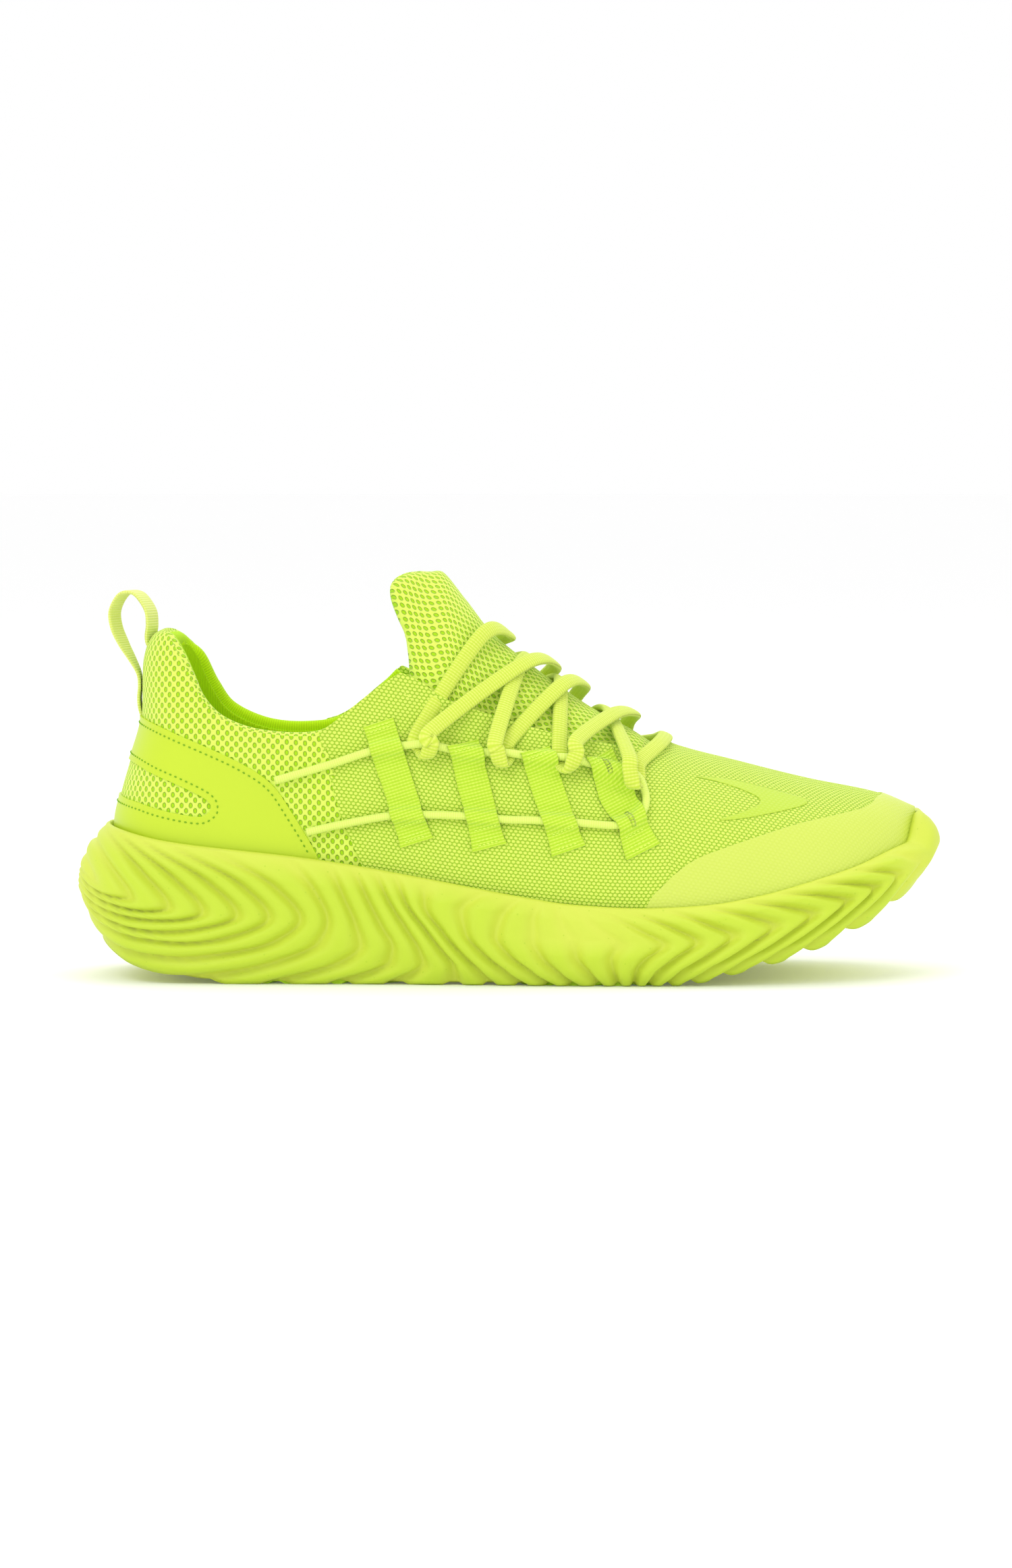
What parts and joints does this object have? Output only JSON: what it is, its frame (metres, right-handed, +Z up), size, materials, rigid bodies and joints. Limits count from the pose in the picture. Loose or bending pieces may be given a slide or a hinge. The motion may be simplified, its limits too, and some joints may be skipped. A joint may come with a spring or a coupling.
{
  "type": "running shoe",
  "caption": "Low-cut right running shoe with ridged foam sole, mesh and knit upper, padded tongue, lace round side cords, webbing straps and heel pull loop.",
  "frame": {"origin": "on the ground under the middle of the shoe's bounding box", "axes": "+X to the toe, +Z up, -Y is the outer (lateral) side"},
  "size_m": [0.3046, 0.107, 0.1463],
  "materials": {
    "sole_foam": "moulded foam, soft satin with faint specks",
    "outsole_rubber": "matt moulded rubber",
    "board": "pressed fibre board",
    "air_mesh": "air mesh with staggered oval holes",
    "knit": "bumpy engineered knit",
    "lining_fabric": "smooth brushed lining",
    "overlay_pu": "smooth satin synthetic leather",
    "film": "thin satin film over the knit",
    "lace_webbing": "fine ribbed lace",
    "cord": "smooth round cord",
    "strap_webbing": "ribbed webbing",
    "aglet_plastic": "clear tinted tip"
  },
  "bodies": {
    "shoe": {"midsole": "sole_foam", "outsole_heel": "outsole_rubber", "outsole_forefoot": "outsole_rubber", "strobel_board": "board", "insole": "lining_fabric", "heel_quarter": "air_mesh", "heel_counter": "board", "collar_padding": "lining_fabric", "heel_lining": "lining_fabric", "vamp": "knit", "vamp_lining": "lining_fabric", "toe_puff": "board", "heel_overlay": "overlay_pu", "toe_overlay": "film", "tongue_base": "air_mesh", "lace": "lace_webbing", "aglet_1": "aglet_plastic", "aglet_2": "aglet_plastic", "pull_tape": "strap_webbing", "side_cord_lateral": "cord", "chevron_lateral": "film", "strap_lateral_1": "strap_webbing", "strap_lateral_2": "strap_webbing", "strap_lateral_3": "strap_webbing", "strap_lateral_4": "strap_webbing", "side_cord_medial": "cord", "chevron_medial": "film", "strap_medial_1": "strap_webbing", "strap_medial_2": "strap_webbing", "strap_medial_3": "strap_webbing", "strap_medial_4": "strap_webbing"},
    "tongue": {"tongue_flap": "air_mesh"},
    "loop": {"pull_loop": "strap_webbing"}
  },
  "joints": [
    {"name": "tongue_fold", "type": "hinge", "parent": "shoe", "child": "tongue", "pos_m": [-0.00531, 0, 0.1232], "axis": [0, 1, 0], "range_deg": [0, 30], "stiffness_Nm_per_rad": 0.05},
    {"name": "loop_fold", "type": "hinge", "parent": "shoe", "child": "loop", "pos_m": [-0.12711, 0, 0.1193], "axis": [0, -1, 0], "range_deg": [0, 35], "stiffness_Nm_per_rad": 0.01}
  ]
}
